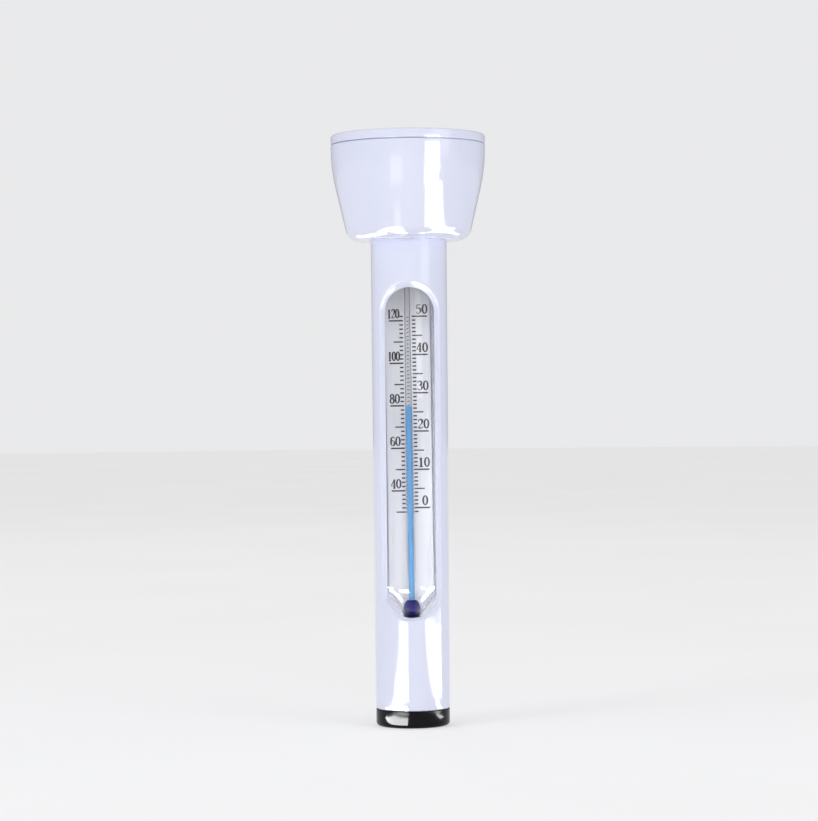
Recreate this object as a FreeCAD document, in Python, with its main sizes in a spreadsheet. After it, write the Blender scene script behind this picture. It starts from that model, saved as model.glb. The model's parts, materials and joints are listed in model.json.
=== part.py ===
import FreeCAD, Part
import math
import os
from types import SimpleNamespace

import Sketcher

# Floating pool thermometer. Z points up along the tube and Z = 0 is the underside of the black end cap.
# The window faces -Y. All lengths are in millimetres.

DIMENSIONS = {
    # white outer tube with its sight window
    "tube_radius": 9.75,
    "tube_head_radius": 10.0,
    "tube_bore_radius": 8.0,
    "tube_foot_z": 4.5,
    "tube_head_z": 137.0,
    "window_half_width": 6.4,
    "window_low_z": 28.7,
    "window_high_z": 114.9,
    "window_bevel": 1.2,
    "lip_radius": 0.5,
    "cut_spare": 1.0,
    # float: an open cup and the lid that closes it
    "float_radius": 20.3,
    "float_base_z": 127.5,
    "float_base_radius": 15.9,
    "float_shoulder_z": 146.4,
    "float_rim_z": 152.8,
    "float_wall": 1.8,
    "float_corner_radius": 3.7,
    "float_shoulder_radius": 45.0,
    "seam_height": 0.3,
    "seam_depth": 0.7,
    "collar_wall": 1.7,
    "joint_gap": 0.05,
    "lid_head_z": 155.2,
    "lid_spigot_radius": 18.3,
    "lid_spigot_foot_z": 148.0,
    "plug_lead": 1.0,
    "dish_floor_z": 148.6,
    "dish_floor_radius": 15.2,
    "dish_mouth_radius": 16.4,
    "lug_half_width": 4.0,
    "lug_thickness": 3.0,
    "lug_head_z": 154.9,
    "lug_root": 1.0,
    "tether_hole_radius": 1.6,
    "tether_hole_z": 151.3,
    # black end cap
    "cap_radius": 9.7,
    "cap_plug_radius": 7.9,
    "cap_plug_head_z": 13.0,
    "cap_edge_radius": 1.0,
    "cap_ring_groove_z": 9.0,
    "foot_groove_depth": 0.6,
    "foot_groove_inner": 5.6,
    "foot_groove_outer": 6.8,
    # loose fillings of the tube
    "ballast_radius": 7.6,
    "ballast_bore_radius": 5.0,
    "ballast_foot_z": 13.2,
    "ballast_head_z": 23.2,
    "seat_radius": 7.8,
    "seat_foot_z": 23.4,
    "seat_shoulder_z": 25.5,
    "seat_crest_z": 28.5,
    "seat_crest_radius": 2.9,
    "seat_gap": 0.15,
    "pad_radius": 7.8,
    "pad_foot_z": 131.0,
    "pad_head_z": 136.9,
    # clear sheath with a conical closed foot
    "sheath_radius": 7.1,
    "sheath_wall": 0.7,
    "sheath_head_z": 128.0,
    "cone_head_z": 35.6,
    "cone_foot_z": 27.4,
    "cone_foot_radius": 1.36,
    "cone_tip_z": 26.7,
    "cone_tip_radius": 0.8,
    "cone_wall": 0.84,
    "cone_bore_z": 28.1,
    "cone_bore_tip_z": 27.7,
    "cone_shoulder_radius": 3.0,
    "plug_radius": 6.3,
    "plug_foot_z": 122.0,
    "plug_head_z": 130.5,
    "plug_ring_groove_z": 126.2,
    "plug_slot_depth": 2.7,
    # scale plate, capillary and its liquid
    "plate_half_width": 6.1,
    "plate_front_y": 1.3,
    "plate_thickness": 0.4,
    "plate_foot_z": 33.4,
    "plate_foot_half_width": 4.2,
    "plate_shoulder_z": 36.0,
    "plate_head_z": 124.5,
    "capillary_radius": 1.25,
    "capillary_bore_radius": 0.52,
    "capillary_head_z": 124.3,
    "bore_head_z": 123.0,
    "bulb_radius": 2.25,
    "bulb_centre_z": 30.7,
    "bulb_wall": 0.22,
    "bulb_side": 0.1,
    "neck_z": 32.9,
    "neck_outer_radius": 2.7,
    "neck_inner_radius": 2.25,
    "liquid_gap": 0.05,
    "column_radius": 0.45,
    "column_head_z": 83.9,
    "clip_foot_z": 118.0,
    "clip_head_z": 120.0,
    "clip_half_width": 2.4,
    "clip_wall": 0.6,
    # seal rings: radius of the ring's own cord
    "cap_ring_cord": 0.9,
    "plug_ring_cord": 0.65,
    "lid_ring_cord": 0.6,
    "lid_ring_groove_z": 151.4,
    "ring_gap": 0.03,
}
CONE_SLOPE = 0.7  # radius that the sheath's cone gains for each millimetre of height
INSERT_LEAN_DEG = 0.4  # the glass insert leans towards -X in the clearance that the tube leaves it

doc = FreeCAD.newDocument("PoolThermometer")


class Size:
    """A length with both its value and the expression that binds it to the sheet."""

    def __init__(self, value, text):
        self.value = value
        self.text = text

    def __add__(self, other):
        other = as_size(other)
        return Size(self.value + other.value, f"({self.text} + {other.text})")

    def __sub__(self, other):
        other = as_size(other)
        return Size(self.value - other.value, f"({self.text} - {other.text})")

    def __neg__(self):
        return Size(-self.value, f"(0 - {self.text})")

    def __mul__(self, factor):
        return Size(self.value * factor, f"({self.text} * {factor})")


def as_size(length):
    """Wraps a plain number, and returns a Size as it is."""
    if isinstance(length, Size):
        return length
    return Size(float(length), f"{float(length)}")


def fill_sheet(lengths):
    """Writes one row per driving dimension and returns the dimensions as Sizes, by alias."""
    sheet = doc.addObject("Spreadsheet::Sheet", "Dimensions")
    sizes = {}
    for row, (alias, value) in enumerate(lengths.items(), start=1):
        sheet.set(f"A{row}", alias.replace("_", " "))
        sheet.set(f"B{row}", str(value))
        sheet.setAlias(f"B{row}", alias)
        sizes[alias] = Size(value, f"Dimensions.{alias}")
    doc.recompute()
    return SimpleNamespace(**sizes)


dim = fill_sheet(DIMENSIONS)


def new_body(name):
    """Makes the body of one piece. Its label is the name of the piece's file."""
    body = doc.addObject("PartDesign::Body", "Body_" + name)
    body.Label = name
    return body


def origin_plane(body, role):
    """Finds one of the body's own origin planes."""
    return next(plane for plane in body.Origin.OriginFeatures if plane.Role == role)


def arc_between(start, end, radius, bulge):
    """An arc of the given radius from start to end. A bulge of 1 puts it to the right of that direction."""
    chord = end - start
    middle = (start + end) * 0.5
    height = math.sqrt(max(radius**2 - (chord.Length / 2) ** 2, 0.0))
    left = FreeCAD.Vector(-chord.y, chord.x, 0).normalize()
    centre = middle + left * height * bulge
    outward = middle - centre
    if outward.Length < 1e-9:
        outward = left * -bulge
    through = centre + outward.normalize() * radius
    return Part.Arc(start, through, end)


def outline(body, role, corners, arcs=None, depth=None):
    """Draws a closed outline through corners, each a pair of lengths bound to the sheet.

    arcs gives (radius, bulge) for the edge that starts at a corner. depth lifts the sketch off its plane.
    """
    arcs = arcs or {}
    sketch = body.newObject("Sketcher::SketchObject", f"{body.Label}_outline")
    sketch.AttachmentSupport = [(origin_plane(body, role), "")]
    sketch.MapMode = "FlatFace"
    if depth is not None:
        sketch.setExpression("AttachmentOffset.Base.z", as_size(depth).text)
    corners = [(as_size(across), as_size(up)) for across, up in corners]
    points = [FreeCAD.Vector(across.value, up.value, 0) for across, up in corners]
    count = len(points)
    for index, start in enumerate(points):
        end = points[(index + 1) % count]
        if index in arcs:
            radius, bulge = arcs[index]
            sketch.addGeometry(arc_between(start, end, as_size(radius).value, bulge))
        else:
            sketch.addGeometry(Part.LineSegment(start, end))
    ends = []
    for index, start in enumerate(points):
        near = sketch.getPoint(index, 1)
        ends.append((1, 2) if (near - start).Length < 1e-6 else (2, 1))
    for index, (across, up) in enumerate(corners):
        following = (index + 1) % count
        sketch.addConstraint(
            Sketcher.Constraint("Coincident", index, ends[index][1], following, ends[following][0])
        )
        for kind, length in (("DistanceX", across), ("DistanceY", up)):
            if abs(length.value) < 1e-9:
                on_axis = -2 if kind == "DistanceX" else -1
                sketch.addConstraint(
                    Sketcher.Constraint("PointOnObject", index, ends[index][0], on_axis)
                )
                continue
            number = sketch.addConstraint(
                Sketcher.Constraint(kind, -1, 1, index, ends[index][0], length.value)
            )
            sketch.setExpression(f"Constraints[{number}]", length.text)
    for index, (radius, _) in arcs.items():
        chord = (points[(index + 1) % count] - points[index]).Length
        half_turn = abs(chord - 2 * as_size(radius).value) < 1e-6
        if half_turn:
            height = corners[index][1]
            rule = Sketcher.Constraint("DistanceY", -1, 1, index, 3, height.value)
            if abs(height.value) < 1e-9:
                rule = Sketcher.Constraint("PointOnObject", index, 3, -1)
            number = sketch.addConstraint(rule)
            if abs(height.value) >= 1e-9:
                sketch.setExpression(f"Constraints[{number}]", height.text)
            continue
        number = sketch.addConstraint(
            Sketcher.Constraint("Radius", index, as_size(radius).value)
        )
        sketch.setExpression(f"Constraints[{number}]", as_size(radius).text)
    doc.recompute()
    return sketch


def circle(body, role, centre, radius, depth=None):
    """Draws a circle that is bound to the sheet."""
    sketch = body.newObject("Sketcher::SketchObject", f"{body.Label}_circle")
    sketch.AttachmentSupport = [(origin_plane(body, role), "")]
    sketch.MapMode = "FlatFace"
    if depth is not None:
        sketch.setExpression("AttachmentOffset.Base.z", as_size(depth).text)
    across, up = as_size(centre[0]), as_size(centre[1])
    middle = FreeCAD.Vector(across.value, up.value, 0)
    sketch.addGeometry(Part.Circle(middle, FreeCAD.Vector(0, 0, 1), radius.value))
    for kind, length in (("DistanceX", across), ("DistanceY", up)):
        if abs(length.value) < 1e-9:
            on_axis = -2 if kind == "DistanceX" else -1
            sketch.addConstraint(Sketcher.Constraint("PointOnObject", 0, 3, on_axis))
            continue
        number = sketch.addConstraint(Sketcher.Constraint(kind, -1, 1, 0, 3, length.value))
        sketch.setExpression(f"Constraints[{number}]", length.text)
    number = sketch.addConstraint(Sketcher.Constraint("Radius", 0, radius.value))
    sketch.setExpression(f"Constraints[{number}]", radius.text)
    doc.recompute()
    return sketch


def revolve(body, corners, arcs=None):
    """Turns an outline of (radius, height) corners about the tube's axis."""
    sketch = outline(body, "XZ_Plane", corners, arcs)
    turned = body.newObject("PartDesign::Revolution", f"{body.Label}_turned")
    turned.Profile = sketch
    turned.ReferenceAxis = (sketch, ["V_Axis"])
    turned.Angle = 360
    doc.recompute()
    return turned


def groove(body, corners, arcs=None):
    """Cuts an outline of (radius, height) corners round the tube's axis."""
    before = body.Shape.Volume
    sketch = outline(body, "XZ_Plane", corners, arcs)
    cut = body.newObject("PartDesign::Groove", f"{body.Label}_groove")
    cut.Profile = sketch
    cut.ReferenceAxis = (sketch, ["V_Axis"])
    cut.Angle = 360
    doc.recompute()
    check_cut(body, before)
    return cut


def pad(body, sketch, length, midplane=False):
    """Raises a sketch into a solid."""
    raised = body.newObject("PartDesign::Pad", f"{body.Label}_pad")
    raised.Profile = sketch
    raised.setExpression("Length", as_size(length).text)
    raised.Midplane = midplane
    doc.recompute()
    return raised


def pocket(body, sketch, length, midplane=False, reverse=False):
    """Cuts a sketch out of the body."""
    before = body.Shape.Volume
    cut = body.newObject("PartDesign::Pocket", f"{body.Label}_pocket")
    cut.Profile = sketch
    cut.setExpression("Length", as_size(length).text)
    cut.Midplane = midplane
    cut.Reversed = reverse
    doc.recompute()
    check_cut(body, before)
    return cut


def check_cut(body, before):
    """Stops if the last cut took nothing away."""
    if not body.Shape.Volume < before - 1e-4:
        raise RuntimeError(f"{body.Label}: the last cut removed nothing")


def round_edges(body, names, radius):
    """Rounds the named edges of the body's last feature."""
    rounded = body.newObject("PartDesign::Fillet", f"{body.Label}_rounding")
    rounded.Base = (rounded.BaseFeature, names)
    rounded.setExpression("Radius", radius.text)
    doc.recompute()
    return rounded


def bevel_edges(body, names, size):
    """Bevels the named edges of the body's last feature."""
    bevel = body.newObject("PartDesign::Chamfer", f"{body.Label}_bevel")
    bevel.Base = (bevel.BaseFeature, names)
    bevel.setExpression("Size", size.text)
    doc.recompute()
    return bevel


def ring_edges(body, radius, height):
    """Names the full circles of the body with this radius at this height."""
    names = []
    for number, edge in enumerate(body.Shape.Edges, start=1):
        box = edge.BoundBox
        wide = abs(box.XMax - as_size(radius).value) < 0.01
        level = max(abs(box.ZMin - as_size(height).value), abs(box.ZMax - as_size(height).value)) < 0.01
        if wide and level:
            names.append(f"Edge{number}")
    if not names:
        raise RuntimeError(f"{body.Label}: no ring edge at radius {as_size(radius).value}")
    return names


def make_outer_tube():
    """White tube, a little wider at its head, with one long window that has a bevelled rim."""
    body = new_body("outer_tube")
    revolve(
        body,
        [
            (dim.tube_bore_radius, dim.tube_foot_z),
            (dim.tube_radius, dim.tube_foot_z),
            (dim.tube_head_radius, dim.tube_head_z),
            (dim.tube_bore_radius, dim.tube_head_z),
        ],
    )
    round_edges(body, ring_edges(body, dim.tube_radius, dim.tube_foot_z), dim.lip_radius)
    half = dim.window_half_width
    low = dim.window_low_z + half
    high = dim.window_high_z - half
    slot = outline(
        body,
        "XZ_Plane",
        [(half, low), (half, high), (-half, high), (-half, low)],
        arcs={1: (half, 1), 3: (half, 1)},
    )
    pocket(body, slot, dim.tube_head_radius + dim.cut_spare, reverse=True)
    front = [
        f"Edge{number}"
        for number, edge in enumerate(body.Shape.Edges, start=1)
        if window_rim(edge)
    ]
    bevel_edges(body, front, dim.window_bevel)
    return body


def tube_radius_at(height):
    """Outer radius of the tapered tube at a height."""
    share = (height - dim.tube_foot_z.value) / (dim.tube_head_z.value - dim.tube_foot_z.value)
    return dim.tube_radius.value + share * (dim.tube_head_radius.value - dim.tube_radius.value)


def window_rim(edge):
    """True for the edges where the window meets the outside of the tube."""
    points = edge.discretize(5)
    outside = all(abs(math.hypot(p.x, p.y) - tube_radius_at(p.z)) < 0.02 for p in points)
    low, high = dim.window_low_z.value - 0.01, dim.window_high_z.value + 0.01
    return outside and all(low < p.z < high and p.y < 0 for p in points)


def make_float_cup():
    """Hollow tapered cup. A closed collar in its floor takes the head of the tube."""
    body = new_body("float_cup")
    wall = dim.float_wall
    socket = dim.tube_head_radius + dim.joint_gap
    collar = socket + dim.collar_wall
    floor = dim.float_base_z + wall
    ceiling = dim.tube_head_z + dim.joint_gap
    mouth = dim.lid_spigot_radius + dim.joint_gap * 2
    seam = dim.float_radius - dim.seam_depth
    revolve(
        body,
        [
            (socket, dim.float_base_z),
            (dim.float_base_radius, dim.float_base_z),
            (dim.float_radius, dim.float_shoulder_z),
            (dim.float_radius, dim.float_rim_z - dim.seam_height),
            (seam, dim.float_rim_z - dim.seam_height),
            (seam, dim.float_rim_z),
            (mouth, dim.float_rim_z),
            (mouth, dim.float_shoulder_z),
            (dim.float_base_radius - wall, floor),
            (collar, floor),
            (collar, ceiling + wall),
            (0, ceiling + wall),
            (0, ceiling),
            (socket, ceiling),
        ],
    )
    corner = ring_edges(body, dim.float_base_radius, dim.float_base_z)
    round_edges(body, corner, dim.float_corner_radius)
    shoulder = ring_edges(body, dim.float_radius, dim.float_shoulder_z)
    round_edges(body, shoulder, dim.float_shoulder_radius)
    return body


def make_float_lid():
    """Dished lid that plugs into the cup, with an eye for a tether standing in the dish."""
    body = new_body("float_lid")
    wall = dim.float_wall
    groove_radius = dim.lid_spigot_radius - dim.lid_ring_cord * 2 + dim.ring_gap
    groove_half = dim.lid_ring_cord + dim.ring_gap
    revolve(
        body,
        [
            (0, dim.dish_floor_z - wall),
            (dim.dish_floor_radius + wall, dim.dish_floor_z - wall),
            (dim.dish_floor_radius + wall, dim.lid_spigot_foot_z),
            (dim.lid_spigot_radius, dim.lid_spigot_foot_z + dim.plug_lead),
            (dim.lid_spigot_radius, dim.lid_ring_groove_z - groove_half),
            (groove_radius, dim.lid_ring_groove_z - groove_half),
            (groove_radius, dim.lid_ring_groove_z + groove_half),
            (dim.lid_spigot_radius, dim.lid_ring_groove_z + groove_half),
            (dim.lid_spigot_radius, dim.float_rim_z),
            (dim.float_radius, dim.float_rim_z),
            (dim.float_radius, dim.lid_head_z),
            (dim.dish_mouth_radius, dim.lid_head_z),
            (dim.dish_floor_radius, dim.dish_floor_z),
            (0, dim.dish_floor_z),
        ],
    )
    round_edges(body, ring_edges(body, dim.float_radius, dim.lid_head_z), dim.lip_radius)
    half = dim.lug_half_width
    root = dim.dish_floor_z - dim.lug_root
    arch_z = dim.lug_head_z - half
    lug = outline(
        body,
        "XZ_Plane",
        [(half, root), (half, arch_z), (-half, arch_z), (-half, root)],
        arcs={1: (half, 1)},
    )
    pad(body, lug, dim.lug_thickness, midplane=True)
    eye = circle(body, "XZ_Plane", (0, dim.tether_hole_z), dim.tether_hole_radius)
    pocket(body, eye, dim.lug_thickness * 2, midplane=True)
    return body


def make_end_cap():
    """Black cap with a plug that pushes into the foot of the tube."""
    body = new_body("end_cap")
    groove_radius = dim.tube_bore_radius - dim.cap_ring_cord * 2
    groove_half = dim.cap_ring_cord + dim.ring_gap
    revolve(
        body,
        [
            (0, 0),
            (dim.cap_radius, 0),
            (dim.cap_radius, dim.tube_foot_z),
            (dim.cap_plug_radius, dim.tube_foot_z),
            (dim.cap_plug_radius, dim.cap_ring_groove_z - groove_half),
            (groove_radius - dim.ring_gap, dim.cap_ring_groove_z - groove_half),
            (groove_radius - dim.ring_gap, dim.cap_ring_groove_z + groove_half),
            (dim.cap_plug_radius, dim.cap_ring_groove_z + groove_half),
            (dim.cap_plug_radius, dim.cap_plug_head_z - dim.plug_lead),
            (dim.cap_plug_radius - dim.plug_lead, dim.cap_plug_head_z),
            (0, dim.cap_plug_head_z),
        ],
    )
    round_edges(body, ring_edges(body, dim.cap_radius, 0), dim.cap_edge_radius)
    groove(
        body,
        [
            (dim.foot_groove_inner, 0),
            (dim.foot_groove_outer, 0),
            (dim.foot_groove_outer, dim.foot_groove_depth),
            (dim.foot_groove_inner, dim.foot_groove_depth),
        ],
    )
    return body


def make_ballast_weight():
    """Steel sleeve that keeps the tube hanging upright. Its bore keeps it light enough to float."""
    body = new_body("ballast_weight")
    revolve(
        body,
        [
            (dim.ballast_bore_radius, dim.ballast_foot_z),
            (dim.ballast_radius, dim.ballast_foot_z),
            (dim.ballast_radius, dim.ballast_head_z),
            (dim.ballast_bore_radius, dim.ballast_head_z),
        ],
    )
    edges = ring_edges(body, dim.ballast_radius, dim.ballast_foot_z)
    edges += ring_edges(body, dim.ballast_radius, dim.ballast_head_z)
    bevel_edges(body, edges, dim.lip_radius)
    return body


def make_bulb_seat():
    """Black rubber seat. Its conical cup holds the tip of the sheath below the window."""
    body = new_body("bulb_seat")
    revolve(
        body,
        [
            (0, dim.seat_foot_z),
            (dim.seat_radius, dim.seat_foot_z),
            (dim.seat_radius, dim.seat_shoulder_z),
            (dim.seat_crest_radius, dim.seat_crest_z),
            (cone_radius(dim.seat_crest_z) + dim.seat_gap, dim.seat_crest_z),
            (dim.cone_foot_radius + dim.seat_gap, dim.cone_foot_z),
            (dim.cone_foot_radius, dim.cone_tip_z - dim.seat_gap),
            (0, dim.cone_tip_z - dim.seat_gap),
        ],
    )
    return body


def cone_radius(height):
    """Outer radius of the sheath's cone at a height between its foot and its head."""
    return dim.cone_foot_radius + (height - dim.cone_foot_z) * CONE_SLOPE


def make_sheath_tube():
    """Clear tube with a closed conical foot. It keeps the scale and the capillary dry."""
    body = new_body("sheath_tube")
    bore = dim.sheath_radius - dim.sheath_wall
    revolve(
        body,
        [
            (0, dim.cone_tip_z),
            (dim.cone_tip_radius, dim.cone_tip_z),
            (dim.cone_foot_radius, dim.cone_foot_z),
            (dim.sheath_radius, dim.cone_head_z),
            (dim.sheath_radius, dim.sheath_head_z),
            (bore, dim.sheath_head_z),
            (bore, dim.cone_head_z),
            (cone_radius(dim.cone_bore_z) - dim.cone_wall, dim.cone_bore_z),
            (0, dim.cone_bore_tip_z),
        ],
    )
    shoulder = ring_edges(body, dim.sheath_radius, dim.cone_head_z)
    round_edges(body, shoulder, dim.cone_shoulder_radius)
    return body


def make_sheath_plug():
    """Stopper of the sheath, with a slot for the scale plate and a blind hole for the capillary."""
    body = new_body("sheath_plug")
    groove_radius = dim.sheath_radius - dim.sheath_wall - dim.plug_ring_cord * 2
    groove_half = dim.plug_ring_cord + dim.ring_gap
    revolve(
        body,
        [
            (0, dim.plug_foot_z),
            (dim.plug_radius, dim.plug_foot_z),
            (dim.plug_radius, dim.plug_ring_groove_z - groove_half),
            (groove_radius - dim.ring_gap, dim.plug_ring_groove_z - groove_half),
            (groove_radius - dim.ring_gap, dim.plug_ring_groove_z + groove_half),
            (dim.plug_radius, dim.plug_ring_groove_z + groove_half),
            (dim.plug_radius, dim.sheath_head_z),
            (dim.sheath_radius, dim.sheath_head_z),
            (dim.sheath_radius, dim.plug_head_z),
            (0, dim.plug_head_z),
        ],
    )
    front = dim.plate_front_y - dim.joint_gap
    back = dim.plate_front_y + dim.plate_thickness + dim.joint_gap
    side = dim.plug_radius + dim.cut_spare
    slot = outline(
        body,
        "XY_Plane",
        [(-side, front), (side, front), (side, back), (-side, back)],
        depth=dim.plug_foot_z,
    )
    pocket(body, slot, dim.plug_slot_depth, reverse=True)
    hole = circle(
        body, "XY_Plane", (0, 0), dim.capillary_radius + dim.joint_gap, depth=dim.plug_foot_z
    )
    pocket(body, hole, dim.plug_slot_depth, reverse=True)
    return body


def make_scale_plate():
    """Silver-grey strip behind the capillary. Its foot narrows to fit the cone."""
    body = new_body("scale_plate")
    wide = dim.plate_half_width
    narrow = dim.plate_foot_half_width
    strip = outline(
        body,
        "XZ_Plane",
        [
            (-narrow, dim.plate_foot_z),
            (narrow, dim.plate_foot_z),
            (wide, dim.plate_shoulder_z),
            (wide, dim.plate_head_z),
            (-wide, dim.plate_head_z),
            (-wide, dim.plate_shoulder_z),
        ],
        depth=-(dim.plate_front_y + dim.plate_thickness),
    )
    pad(body, strip, dim.plate_thickness)
    return body


def make_capillary_tube():
    """Glass tube with a fine bore that opens into the bulb at its foot."""
    body = new_body("capillary_tube")
    bulb = dim.bulb_radius
    inner = bulb - dim.bulb_wall
    low = dim.bulb_centre_z
    high = low + dim.bulb_side
    revolve(
        body,
        [
            (0, low - bulb),
            (bulb, low),
            (bulb, high),
            (dim.capillary_radius, dim.neck_z),
            (dim.capillary_radius, dim.capillary_head_z),
            (0, dim.capillary_head_z),
            (0, dim.bore_head_z),
            (dim.capillary_bore_radius, dim.bore_head_z),
            (dim.capillary_bore_radius, dim.neck_z),
            (inner, high),
            (inner, low),
            (0, low - inner),
        ],
        arcs={
            0: (bulb, 1),
            2: (dim.neck_outer_radius, 1),
            8: (dim.neck_inner_radius, -1),
            10: (inner, -1),
        },
    )
    return body


def make_bulb_liquid():
    """Dyed liquid that fills the bulb, up to the foot of the bore."""
    body = new_body("bulb_liquid")
    radius = dim.bulb_radius - dim.bulb_wall - dim.liquid_gap
    low = dim.bulb_centre_z
    high = low + dim.bulb_side
    revolve(
        body,
        [
            (0, low - radius),
            (radius, low),
            (radius, high),
            (dim.column_radius, dim.neck_z - dim.liquid_gap),
            (0, dim.neck_z - dim.liquid_gap),
        ],
        arcs={0: (radius, 1), 2: (dim.neck_inner_radius, 1)},
    )
    return body


def make_indicator_column():
    """Thread of dyed liquid in the bore. Its head is the reading."""
    body = new_body("indicator_column")
    revolve(
        body,
        [
            (0, dim.neck_z),
            (dim.column_radius, dim.neck_z),
            (dim.column_radius, dim.column_head_z),
            (0, dim.column_head_z),
        ],
    )
    return body


def make_capillary_clip():
    """Saddle that holds the capillary against the scale plate above the window."""
    body = new_body("capillary_clip")
    inner = dim.capillary_radius + dim.joint_gap
    outer = inner + dim.clip_wall
    front = dim.plate_front_y - dim.joint_gap
    saddle = outline(
        body,
        "XY_Plane",
        [
            (-inner, 0),
            (inner, 0),
            (inner, front),
            (dim.clip_half_width, front),
            (dim.clip_half_width, front - dim.clip_wall),
            (outer, front - dim.clip_wall),
            (outer, 0),
            (-outer, 0),
            (-outer, front - dim.clip_wall),
            (-dim.clip_half_width, front - dim.clip_wall),
            (-dim.clip_half_width, front),
            (-inner, front),
        ],
        arcs={0: (inner, 1), 6: (outer, -1)},
        depth=dim.clip_foot_z,
    )
    pad(body, saddle, dim.clip_head_z - dim.clip_foot_z)
    return body


def make_seal_ring(name, outer_radius, cord, height):
    """Rubber ring of round section that lies in a groove."""
    ring = doc.addObject("Part::Torus", "Ring_" + name)
    ring.Label = name
    ring.setExpression("Radius1", (outer_radius - cord).text)
    ring.setExpression("Radius2", cord.text)
    ring.setExpression("Placement.Base.z", height.text)
    doc.recompute()
    return ring


def make_upper_pad():
    """Soft foam disc that takes up the play above the insert."""
    body = new_body("upper_pad")
    revolve(
        body,
        [
            (0, dim.pad_foot_z),
            (dim.pad_radius, dim.pad_foot_z),
            (dim.pad_radius, dim.pad_head_z),
            (0, dim.pad_head_z),
        ],
    )
    return body


def lean(piece):
    """Tilts a piece of the glass insert about the tip of the sheath."""
    turn = FreeCAD.Rotation(FreeCAD.Vector(0, 1, 0), -INSERT_LEAN_DEG)
    about = FreeCAD.Vector(0, 0, dim.cone_foot_z.value)
    piece.Placement = FreeCAD.Placement(FreeCAD.Vector(), turn, about).multiply(piece.Placement)


housing = [
    make_outer_tube(),
    make_float_cup(),
    make_float_lid(),
    make_seal_ring(
        "lid_seal_ring",
        dim.lid_spigot_radius + dim.joint_gap,
        dim.lid_ring_cord,
        dim.lid_ring_groove_z,
    ),
    make_end_cap(),
    make_seal_ring(
        "cap_seal_ring",
        dim.tube_bore_radius - dim.ring_gap,
        dim.cap_ring_cord - dim.ring_gap,
        dim.cap_ring_groove_z,
    ),
    make_ballast_weight(),
    make_bulb_seat(),
    make_upper_pad(),
]
insert = [
    make_sheath_tube(),
    make_sheath_plug(),
    make_seal_ring(
        "plug_seal_ring",
        dim.sheath_radius - dim.sheath_wall - dim.ring_gap,
        dim.plug_ring_cord - dim.ring_gap,
        dim.plug_ring_groove_z,
    ),
    make_scale_plate(),
    make_capillary_tube(),
    make_capillary_clip(),
    make_bulb_liquid(),
    make_indicator_column(),
]
for piece in insert:
    lean(piece)
doc.recompute()

for item in doc.Objects:
    if {"Invalid", "Error"} & set(item.State):
        raise RuntimeError(f"{item.Label} failed: {item.State}")
for piece in housing + insert:
    if piece.Shape.isNull() or not piece.Shape.isValid():
        raise RuntimeError(f"{piece.Label} has no valid shape")

os.makedirs("parts", exist_ok=True)
for piece in housing + insert:
    piece.Shape.exportStep(f"parts/{piece.Label}.step")
    print(f"{piece.Label}: {piece.Shape.Volume:.1f} mm3")
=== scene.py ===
import json
import math

import bmesh
import bpy
from mathutils import Matrix, Vector


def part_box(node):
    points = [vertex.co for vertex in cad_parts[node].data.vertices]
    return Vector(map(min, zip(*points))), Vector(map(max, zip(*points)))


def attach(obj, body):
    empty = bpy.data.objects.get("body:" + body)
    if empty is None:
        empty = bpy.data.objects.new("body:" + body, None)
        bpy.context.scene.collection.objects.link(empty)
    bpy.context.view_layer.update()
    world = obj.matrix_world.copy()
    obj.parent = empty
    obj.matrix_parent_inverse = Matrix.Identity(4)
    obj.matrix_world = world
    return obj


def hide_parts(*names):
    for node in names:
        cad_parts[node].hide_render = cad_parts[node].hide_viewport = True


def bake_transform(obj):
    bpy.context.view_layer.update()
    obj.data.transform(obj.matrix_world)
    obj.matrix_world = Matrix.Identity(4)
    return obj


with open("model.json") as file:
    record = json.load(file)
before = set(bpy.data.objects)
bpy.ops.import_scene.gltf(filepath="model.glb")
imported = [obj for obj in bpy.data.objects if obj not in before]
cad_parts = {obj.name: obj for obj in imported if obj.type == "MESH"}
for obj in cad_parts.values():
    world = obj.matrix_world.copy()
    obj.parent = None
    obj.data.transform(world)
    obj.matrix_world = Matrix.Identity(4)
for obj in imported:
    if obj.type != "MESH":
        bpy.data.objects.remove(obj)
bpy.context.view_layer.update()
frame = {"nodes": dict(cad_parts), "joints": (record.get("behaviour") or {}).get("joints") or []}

MM = 0.001  # the object's own measures below are in millimetres

# ---------------------------------------------------------------- measures
tube_low, tube_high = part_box("outer_tube")
cup_low, cup_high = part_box("float_cup")
lid_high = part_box("float_lid")[1]
cap_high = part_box("end_cap")[1]

TUBE_HEAD_RADIUS = tube_high[0] / MM
TUBE_FOOT_RADIUS = TUBE_HEAD_RADIUS - 0.25
TUBE_BORE = 8.0
TUBE_FOOT = tube_low[2] / MM
TUBE_HEAD = tube_high[2] / MM
FLOAT_RADIUS = cup_high[0] / MM
FLOAT_BASE = cup_low[2] / MM
FLOAT_RIM = cup_high[2] / MM
LID_TOP = lid_high[2] / MM
CAP_RADIUS = cap_high[0] / MM
CAP_PLUG_TOP = cap_high[2] / MM

WINDOW_HALF = 6.4
WINDOW_LOW = 28.7
WINDOW_HIGH = 114.9
RIM_SIDE = 1.45  # how far the window's rim flares, seen from the front
RIM_TOP = 1.8
RIM_BOTTOM = 0.8

INSERT_PIVOT = Vector((0, 0, 27.4 * MM))
joint = frame["joints"][0]
LEAN = Vector((0, 0, 1)).rotation_difference(Vector(joint["axis"])).to_matrix().to_4x4()
LEANING = Matrix.Translation(INSERT_PIVOT) @ LEAN @ Matrix.Translation(-INSERT_PIVOT)

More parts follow.
